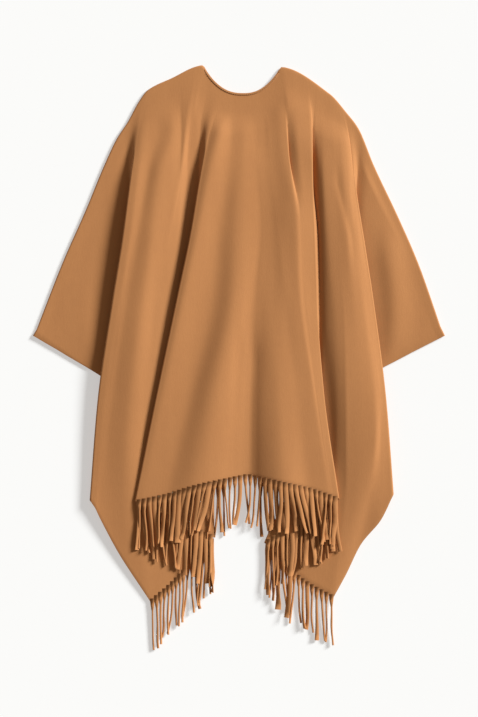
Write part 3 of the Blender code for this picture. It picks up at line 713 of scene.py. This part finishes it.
class Wire:
    """A socket of a node tree. Arithmetic on it adds Math nodes."""

    def __init__(self, tree, socket=None):
        self.tree = tree
        self.socket = socket

    def node(self, kind, settings=None, sockets=None, output=0):
        """Adds a node: its settings first, then the values or wires of its sockets."""
        made = self.tree.nodes.new(kind)
        for name, value in (settings or {}).items():
            setattr(made, name, value)
        for name, value in (sockets or {}).items():
            if isinstance(value, Wire):
                self.tree.links.new(value.socket, made.inputs[name])
            else:
                made.inputs[name].default_value = value
        return Wire(self.tree, made.outputs[output])

    def math(self, operation, first, second):
        return self.node("ShaderNodeMath", {"operation": operation}, {0: first, 1: second})

    def __add__(self, other):
        return self.math("ADD", self, other)

    def __radd__(self, other):
        return self.math("ADD", other, self)

    def __sub__(self, other):
        return self.math("SUBTRACT", self, other)

    def __rsub__(self, other):
        return self.math("SUBTRACT", other, self)

    def __mul__(self, other):
        return self.math("MULTIPLY", self, other)

    def __rmul__(self, other):
        return self.math("MULTIPLY", other, self)


def new_material(name, values):
    """A material whose shader has these values, a wire into its node tree, and the shader's
    sockets."""
    material = bpy.data.materials.new(name)
    material.use_nodes = True
    tree = material.node_tree
    shader = tree.nodes["Principled BSDF"].inputs
    for socket, value in values.items():
        shader[socket].default_value = value
    return material, Wire(tree), shader


def noise(wire, place, y_share, scale, detail, roughness=0.55):
    """Grey noise over a place, drawn out along y where only a share of y counts."""
    place = wire.node("ShaderNodeVectorMath", {"operation": "MULTIPLY"},
                      {0: place, 1: (1.0, y_share, 1.0)})
    return wire.node("ShaderNodeTexNoise", {}, {"Vector": place, "Scale": scale, "Detail": detail,
                                                "Roughness": roughness})


def felted_wool(name, cloth, strands=False):
    """Felted wool: a short nap over a fine ground, in slightly uneven colour, with a soft sheen.

    The colour goes from wool_deep to wool with the weighted sum of WOOL_NOISES less WOOL_TONE,
    and the bump is their other sum. Strands add fibres along their own UV map and a shade each.
    """
    material, wire, shader = new_material(name, {
        "Sheen Weight": 0.12, "Sheen Roughness": 0.6, "Sheen Tint": (0.95, 0.75, 0.55, 1.0),
        "Specular IOR Level": 0.2})
    place = wire.node("ShaderNodeTexCoord", output="Object")
    grey = {row[0]: noise(wire, place, *row[1:-2]) for row in WOOL_NOISES}
    tone = sum(grey[row[0]] * row[-2] for row in WOOL_NOISES) - WOOL_TONE
    height = sum(grey[row[0]] * row[-1] for row in WOOL_NOISES if row[-1])
    if strands:
        own = wire.node("ShaderNodeUVMap", {"uv_map": "cloth"})
        fibres = noise(wire, own, FIBRE_STRETCH, FIBRE_SCALE, detail=3.0)
        shade = wire.node("ShaderNodeAttribute", {"attribute_name": "shade"}, output="Fac")
        tone = tone + (shade - 0.5) * SHADE_WEIGHT + (fibres - 0.5) * FIBRE_WEIGHT
        height = height + fibres * FIBRE_WEIGHT
    tone = wire.node("ShaderNodeClamp", {}, {"Value": tone})
    blend = wire.node("ShaderNodeMix", {"data_type": "RGBA"},
                      {"Factor": tone, 6: cloth.wool_deep, 7: cloth.wool}, output=2)
    bump = wire.node("ShaderNodeBump", {}, {"Height": height, "Strength": 0.35,
                                            "Distance": 0.0007})
    links = wire.tree.links
    links.new(blend.socket, shader["Base Color"])
    links.new((0.78 + grey["cloud"] * 0.2).socket, shader["Roughness"])
    links.new(bump.socket, shader["Normal"])
    return material


def stitching(name, colour):
    """Cotton thread: its colour, down to THREAD_DARK of it between the fine fibres."""
    material, wire, shader = new_material(name, {"Roughness": 0.7})
    place = wire.node("ShaderNodeTexCoord", output="Object")
    ply = noise(wire, place, y_share=1.0, scale=1500.0, detail=2.0)
    dark = tuple(THREAD_DARK * channel for channel in colour[:3]) + (1.0,)
    blend = wire.node("ShaderNodeMix", {"data_type": "RGBA"}, {"Factor": ply, 6: dark, 7: colour},
                      output=2)
    wire.tree.links.new(blend.socket, shader["Base Color"])
    return material


def tube_points(path, width_way, thick_way, section, half_width, half_thick):
    """A section carried along a path: path + width_way * x * half_width + thick_way * y *
    half_thick for each corner (x, y) of the section. Leading axes may hold several paths."""
    across = section[:, 0, None] * half_width[..., None, None] * width_way[..., None, :]
    through = section[:, 1, None] * half_thick[..., None, None] * thick_way[..., None, :]
    return path[..., None, :] + across + through


def tube_faces(tubes, sections, corners):
    """Quads of several closed tubes, and the two end faces of each as fans of quads."""
    one = grid_faces(sections, corners, around=True)[:, ::-1]
    half = corners // 2 - 1
    index = np.arange(half)
    start = np.stack((index, index + 1, corners - 2 - index, corners - 1 - index), axis=1)
    end = start[:, ::-1] + (sections - 1) * corners
    faces = np.concatenate((one, start, end))
    return (faces + (np.arange(tubes) * sections * corners)[:, None, None]).reshape(-1, 4)


def strand_roots(hem, down, normal, tips, spans, pitch):
    """Roots of the strands, evenly spaced along each span of the hem: their places, the ways down
    and out of the cloth there, and the heights of their ends."""
    found = []
    for first, last in spans:
        run = lengths_along(hem[None, first:last + 1], 1)[0]
        count = max(int(run[-1] / pitch), 1)
        middle = (np.arange(count) + 0.5) * run[-1] / count
        found.append(first + np.interp(middle, run, np.arange(last - first + 1)))
    where = np.concatenate(found)
    return (at_columns(hem, where), unit(at_columns(down, where)), unit(at_columns(normal, where)),
            at_columns(tips, where))


def add_fringe(name, wool_name, roots, cloth, fringe, seed):
    """Flat strands of wool as tubes with a bevelled flat section.

    A strand leaves halfway between the hem's own direction and straight down plus its lean, and
    has turned to the second at HANGS_AT. FRINGE_HANG holds the lean of the middle hem, which fades
    out down the lower hems while more strands curl. To that come a sway in groups of neighbours, a
    bend with the square of the share s of its length, and a ripple. Its place is the running sum
    of its steps. Its height falls from the hem's to the tip's as (1 + cos(pi s)) / 2. It twists
    about itself, a curled one narrows and thickens, and a flared one widens with the square of s.
    At the hem each is as wide as the pitch, since the fringe is cut from one length, and its flat
    side is the cloth's, which turns to level as (1 - s) ** 3 fades. Neighbours lie in LAYERS
    heights, so that they cross over one another.
    """
    root, down, normal, tip = roots
    count, sections = len(root), FRINGE_SECTIONS
    random = np.random.default_rng(seed)
    s = np.linspace(0, 1, sections)
    length = fringe.length / MM * random.uniform(*STRAND_LENGTHS, count)[:, None]
    hang_x, *hang = np.array(FRINGE_HANG).T
    lean, share = (np.interp(root[:, 0], hang_x, values) for values in hang)
    lower = np.clip((MIDDLE_HEM_ABOVE - root[:, 1]) / LOWER_HEMS_REACH, 0, 1)
    lean = lean * (1 - smooth_step(lower * LEAN_FADES))
    share = share + (LOWER_HEMS_CURLED - share) * lower
    group = np.sin(np.arange(count) * fringe.grouping
                   + random.normal(0, GROUP_SCATTER, count))[:, None]
    sway = fringe.sway * (group + random.normal(0, SWAY_SCATTER, count)[:, None])
    bend = fringe.sway * random.normal(0, 1.0, count)[:, None]
    ripple = fringe.sway * random.uniform(*RIPPLE, count)[:, None]
    phase = random.uniform(0, 2 * math.pi, (2, count, 1))
    waves = random.uniform(*RIPPLE_WAVES, count)[:, None]
    own = np.arctan2(down[:, 1], down[:, 0])[:, None]
    hanging = np.arctan(lean)[:, None] - math.pi / 2
    turned = (1 + smooth_step(s / HANGS_AT)) / 2
    angle = (own * (1 - turned) + hanging * turned + sway * s + bend * s ** 2
             + ripple * s * np.sin(2 * math.pi * waves * s + phase[0]))
    step = length / (sections - 1)
    x = np.cumsum(np.cos(angle) * step, axis=1) - np.cos(angle[:, :1]) * step
    y = np.cumsum(np.sin(angle) * step, axis=1) - np.sin(angle[:, :1]) * step
    curled = ((random.uniform(0, 1, count) < share * fringe.curl)[:, None]
              * smooth_step((s - CURL_STARTS) / CURL_RANGE))
    flared = (random.uniform(0, 1, count)[:, None] < FLARED_SHARE) * s ** 2
    half_width = (fringe.width / MM / 2 * random.uniform(*STRAND_WIDTHS, count)[:, None]
                  * (1 - (1 - CURLED_WIDTH) * curled + (FLARED_WIDTH - 1) * flared))
    cut = fringe.pitch / MM / 2
    half_width = cut + (half_width - cut) * smooth_step(s / ROOT_SHARE)
    half_thick = HALF_WALL * (1 + (CURLED_THICKNESS - 1) * curled)
    twist = (random.normal(0, TWIST_SCATTER, count)[:, None] * smooth_step(s)
             + random.normal(0, TWIST_RIPPLE, count)[:, None]
             * np.sin(2 * math.pi * waves * s + phase[1]) * s)
    start = root[:, 2:] + FRINGE_RISE
    fall = tip[:, None] + (start - tip[:, None]) * (1 + np.cos(math.pi * s)) / 2
    layer = (np.arange(count) * 2 % LAYERS * LAYER_HEIGHT
             + random.uniform(0, LAYER_SCATTER, count))[:, None]
    lift = (layer * smooth_step(s / LAYER_AT)
            + np.abs(np.sin(twist)) * half_width * TWISTED_LIFT)
    z = np.maximum(fall, half_thick + FLOOR_GAP) + lift
    path = np.stack((root[:, :1] + x, root[:, 1:2] + y, z), axis=-1)
    path[..., :2] -= down[:, None, :2] * FRINGE_OVERLAP
    heading = unit(np.gradient(path, axis=1))
    level = unit(np.cross(heading, UP))
    first = unit(np.cross(heading, (normal * np.sign(normal[:, 2:]))[:, None]))
    level = unit(first * (1 - s[:, None]) ** 3 + level * (1 - (1 - s[:, None]) ** 3))
    up = np.cross(level, heading)
    cos, sin = np.cos(twist)[..., None], np.sin(twist)[..., None]
    width_way, thick_way = level * cos + up * sin, up * cos - level * sin
    points = tube_points(path, width_way, thick_way, STRAND_SECTION, half_width, half_thick)
    points[..., 2] = np.maximum(points[..., 2], FLOOR_GAP)
    uv = np.broadcast_to(STRAND_SECTION[:, 0] * STRAND_UV, points.shape[:-1])
    uv = np.stack((uv, np.broadcast_to((length * s)[..., None], uv.shape)), axis=-1)
    shade = np.broadcast_to(random.uniform(*STRAND_SHADES, (count, 1)),
                            (count, points[0, ..., 0].size))
    wool = felted_wool(wool_name, cloth, strands=True)
    return add_piece(name, points, tube_faces(count, sections, len(STRAND_SECTION)), uv, wool,
                     shade)


class PONCHO_OT_back(bpy.types.Operator):
    """Make the folded back of the poncho and the fringe of its hem"""
    bl_idname = "poncho.back"
    bl_label = "Back"

    def execute(self, context):
        cloth, fringe = context.scene.poncho_cloth, context.scene.poncho_fringe
        surface, tips, ends = back_surface(cloth)
        back = add_cloth("back_cloth", "felted_wool_back", with_shoulder_roll(surface), cloth)
        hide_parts("back")
        normal = grid_normals(surface)[-1]
        down = unit(surface[-1] - surface[-2])
        corner = RIB_NAMES.index("corner_left") - RIB_NAMES.index("crest_a")
        from_end = RIB_NAMES.index("crest_d") - RIB_NAMES.index("corner_right")
        arc = cloth.fold_steps
        # From corner to corner: each side, the folds between their arcs, and the middle
        spans = ((ends[1][0] + corner * cloth.rib_steps, ends[1][1]),
                 (ends[1][1] + arc, ends[2][0] - arc),
                 ends[2],
                 (ends[2][1] + arc, ends[3][0] - arc),
                 (ends[3][0], ends[3][1] - from_end * cloth.rib_steps))
        roots = strand_roots(surface[-1], down, normal, tips, spans, fringe.pitch / MM)
        strands = add_fringe("back_fringe", "felted_wool_back_fringe", roots, cloth, fringe,
                             BACK_SEED)
        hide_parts("fringe_back")
        return {"FINISHED"}


class PONCHO_OT_fronts(bpy.types.Operator):
    """Make the two fronts that lie under the back, with the fringe of their hems"""
    bl_idname = "poncho.fronts"
    bl_label = "Fronts"

    def execute(self, context):
        cloth, fringe = context.scene.poncho_cloth, context.scene.poncho_fringe
        shoulder = back_surface(cloth)[0][0]
        for name, side, *cuff in FRONT_CUFFS:
            surface = front_surface(side, cuff, shoulder)
            front = add_cloth("front_cloth_" + name, "felted_wool_front_" + name, surface, cloth)
            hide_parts("front_" + name)
            hem = np.flatnonzero(side * surface[-1, :, 0] <= FRONT_CORNER_X)
            columns = surface.shape[1]
            roots = strand_roots(surface[-1], unit(surface[-1] - surface[-2]),
                                 np.tile(UP, (columns, 1)), np.full(columns, FRONT_TIP_Z),
                                 ((hem[0], hem[-1]),), fringe.pitch / MM)
            strands = add_fringe("front_fringe_" + name, "felted_wool_fringe_" + name, roots,
                                 cloth, fringe, FRONT_SEED + side)
            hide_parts("fringe_front_" + name)
        return {"FINISHED"}


class PONCHO_OT_neck_edge(bpy.types.Operator):
    """Make the narrow turned edge of the back neckline and its topstitching.

    Both follow the neckline. The edge is a tube with a rounded flat section, |cos| ** 0.6 by
    |sin| ** 0.8, whose half width and half thickness narrow at its ends by |u| ** EDGE_TAPER
    for u from -1 to 1 along it. The stitches are short tubes laid in a row on it, each raised and
    thickened in its middle as cos(pi s) for s from -1/2 to 1/2.
    """
    bl_idname = "poncho.neck_edge"
    bl_label = "Neck edge"

    def execute(self, context):
        cloth = context.scene.poncho_cloth
        half_width = cloth.edge_width / MM / 2
        x = np.linspace(*EDGE_X, EDGE_SECTIONS)
        line = np.column_stack((top_line(x), np.full_like(x, TOP_ROW_Z)))
        outward = np.column_stack((outward_of(line), np.zeros_like(x)))
        turn = np.linspace(0, 2 * math.pi, 2 * EDGE_CORNERS + 1)[:-1]
        section = np.stack((np.cos(turn), np.sin(turn)), axis=1)[::-1]
        section = np.sign(section) * np.abs(section) ** EDGE_ROUND
        path = line + outward * (EDGE_LIES + half_width) + UP * EDGE_LIFT
        taper = 1 - np.abs(np.linspace(-1, 1, len(line))) ** EDGE_TAPER
        wide, thick = (end + (1 - end) * taper for end in EDGE_ENDS)
        points = tube_points(path, outward, UP, section, half_width * wide, EDGE_THICK / 2 * thick)
        across = np.broadcast_to(section[:, 0] * half_width, points.shape[:-1])
        uv = np.stack((across, lengths_along(points, 0)), axis=-1)
        wool = felted_wool("felted_wool_neck_edge", cloth)
        tape = add_piece("neck_edge", points, tube_faces(1, len(line), len(section)), uv, wool)
        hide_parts("neck_binding")
        pitch = cloth.stitch / MM
        seam = (path - outward * half_width * STITCH_INSET
                + UP * (EDGE_THICK + STITCH_HALF[1]) / 2)
        run = lengths_along(seam[None], 1)[0]
        count = int(run[-1] / pitch) - 2 * STITCHES_LEFT_OUT
        s = np.linspace(-0.5, 0.5, STITCH_SECTIONS)
        middle = (np.arange(count)[:, None] + STITCHES_LEFT_OUT + 0.5) * pitch
        where = np.interp(middle + s * pitch * STITCH_SHARE, run, np.arange(len(run)))
        path = at_columns(seam, where.ravel()).reshape(where.shape + (3,))
        path[..., 2] += STITCH_RISE * np.cos(math.pi * s)
        way = unit(at_columns(outward, where.ravel())).reshape(path.shape)
        thin = STITCH_END + (1 - STITCH_END) * np.cos(math.pi * s)
        points = tube_points(path, way, UP, STITCH_SECTION, STITCH_HALF[0] * thin,
                             STITCH_HALF[1] * thin)
        along = np.broadcast_to((s * pitch)[:, None], points.shape[:-1])
        uv = np.stack((np.broadcast_to(STITCH_SECTION[:, 0], along.shape), along), axis=-1)
        faces = tube_faces(count, STITCH_SECTIONS, len(STITCH_SECTION))
        stitches = add_piece("neck_stitching", points, faces, uv,
                             stitching("topstitching", cloth.thread))
        stitches.data.shade_flat()
        return {"FINISHED"}


class PONCHO_OT_studio(bpy.types.Operator):
    """Make the pale floor, the soft lights and the camera"""
    bl_idname = "poncho.studio"
    bl_label = "Studio"

    def execute(self, context):
        studio = context.scene.poncho_studio
        mesh = bpy.data.meshes.new("floor")
        corners = ((-1, -1), (1, -1), (1, 1), (-1, 1))
        mesh.from_pydata([(x * FLOOR_HALF, y * FLOOR_HALF, FLOOR_Z) for x, y in corners], [],
                         [(0, 1, 2, 3)])
        pale = new_material("pale_floor", {
            "Base Color": studio.floor, "Emission Color": (1.0, 1.0, 1.0, 1.0),
            "Emission Strength": studio.glow, "Roughness": 0.9, "Specular IOR Level": 0.1})
        mesh.materials.append(pale[0])
        floor = add_object("floor", mesh)
        light = bpy.data.lights.new("key_light", "SUN")
        light.energy, light.angle = studio.key, studio.key_softness
        light.color = studio.key_colour
        key = add_object("key_light", light)
        key.location = KEY_FROM
        key.rotation_euler = key.location.to_track_quat("Z", "Y").to_euler()
        world = bpy.data.worlds.new("soft_fill")
        world.use_nodes = True
        sky = world.node_tree.nodes["Background"].inputs
        sky["Color"].default_value = studio.fill_colour
        sky["Strength"].default_value = studio.fill
        context.scene.world = world
        lens = bpy.data.cameras.new("camera")
        lens.sensor_fit, lens.sensor_width = "AUTO", SENSOR_MM
        lens.lens = SENSOR_MM * studio.distance / PHOTO_SPAN
        lens.clip_end = 50.0
        camera = add_object("camera", lens)
        camera.location = PHOTO_MIDDLE + (studio.distance + CLOTH_TOP,)
        context.scene.camera = camera
        context.scene.view_settings.view_transform = "Standard"
        return {"FINISHED"}


class PONCHO_PT_parts(bpy.types.Panel):
    """Lists the pieces of the poncho and their settings"""
    bl_idname = "PONCHO_PT_parts"
    bl_label = "Poncho"
    bl_space_type = "VIEW_3D"
    bl_region_type = "UI"
    bl_category = "Poncho"

    def draw(self, context):
        for operator in OPERATORS:
            self.layout.operator(operator.bl_idname)
        for group, kind in GROUPS.items():
            box = self.layout.box()
            for name in kind.__annotations__:
                box.prop(getattr(context.scene, group), name)


GROUPS = {"poncho_cloth": PonchoCloth, "poncho_fringe": PonchoFringe,
          "poncho_studio": PonchoStudio}
OPERATORS = (PONCHO_OT_back, PONCHO_OT_fronts, PONCHO_OT_neck_edge, PONCHO_OT_studio)


def register():
    """Registers the classes and puts the settings on the scene."""
    for item in (*GROUPS.values(), *OPERATORS, PONCHO_PT_parts):
        bpy.utils.register_class(item)
    for name, group in GROUPS.items():
        setattr(bpy.types.Scene, name, PointerProperty(type=group))


def unregister():
    """Takes the settings and the classes away again."""
    for name in GROUPS:
        delattr(bpy.types.Scene, name)
    for item in (PONCHO_PT_parts, *reversed(OPERATORS), *reversed(GROUPS.values())):
        bpy.utils.unregister_class(item)


def main():
    """Makes the pieces in order."""
    register()
    bpy.ops.poncho.back()
    bpy.ops.poncho.fronts()
    bpy.ops.poncho.neck_edge()
    bpy.ops.poncho.studio()


if __name__ == "__main__":
    main()
